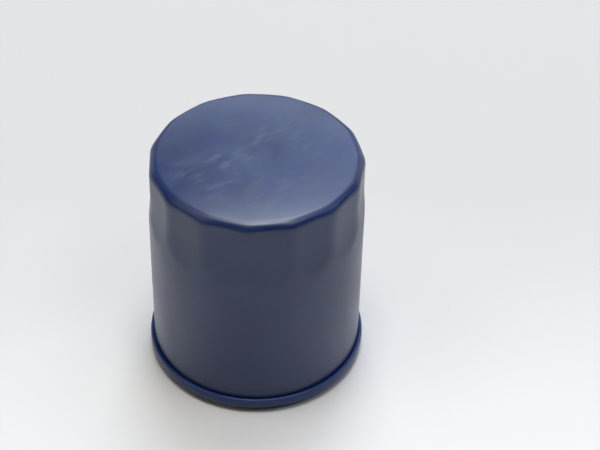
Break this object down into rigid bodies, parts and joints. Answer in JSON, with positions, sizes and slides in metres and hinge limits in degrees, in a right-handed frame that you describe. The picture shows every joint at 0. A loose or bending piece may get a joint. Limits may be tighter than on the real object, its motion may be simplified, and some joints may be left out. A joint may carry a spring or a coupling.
{
  "type": "oil filter",
  "caption": "Spin-on engine oil filter: a painted can with wrench flats, a threaded base with a gasket, and a pleated element with bypass and anti-drainback valves inside.",
  "frame": {"origin": "on the filter's axis, in the plane that the gasket seals on, which is also the plane that the filter stands on", "axes": "+Z along the filter's axis, from the threaded base to the domed end with the wrench flats; +X through a corner between two flats"},
  "size_m": [0.0833, 0.0832, 0.093],
  "materials": {
    "can_paint": "satin baked enamel",
    "cover_paint": "satin enamel outside, thinning to bare tinned steel round the gasket",
    "sealant": "matte",
    "plate_steel": "dull, lightly oiled",
    "nitrile_rubber": "matte, lightly oiled",
    "silicone_rubber": "satin",
    "tinplate": "satin",
    "galvanised_steel": "satin",
    "filter_paper": "matte",
    "cap_adhesive": "satin",
    "valve_steel": "zinc plated",
    "nylon": "matte",
    "spring_wire": "drawn wire",
    "leaf_steel": "tempered blue-grey"
  },
  "bodies": {
    "housing": {"canister": "can_paint", "seam_cover": "cover_paint", "seam_sealant": "sealant", "base_plate": "plate_steel", "sealing_gasket": "nitrile_rubber", "lower_end_cap": "tinplate", "upper_end_cap": "tinplate", "centre_tube": "galvanised_steel", "filter_media": "filter_paper", "pleat_clip": "galvanised_steel", "lower_adhesive": "cap_adhesive", "upper_adhesive": "cap_adhesive", "bypass_cage": "valve_steel", "bypass_seat": "valve_steel", "bypass_spring": "spring_wire", "element_spring": "leaf_steel"},
    "bypass_valve": {"bypass_poppet": "nylon", "bypass_seal": "nitrile_rubber"},
    "drainback_lip": {"anti_drainback_valve": "silicone_rubber"}
  },
  "joints": [
    {"name": "bypass_opening", "type": "slide", "parent": "housing", "child": "bypass_valve", "axis": [0, 0, -1], "range_m": [0, 0.0035], "stiffness_N_per_m": 1500, "springref_m": -0.0075, "deforming": ["bypass_spring"]},
    {"name": "drainback_lift", "type": "slide", "parent": "housing", "child": "drainback_lip", "axis": [0, 0, 1], "range_m": [0, 0.002], "stiffness_N_per_m": 150, "springref_m": -0.002, "deforming": ["anti_drainback_valve"]}
  ]
}
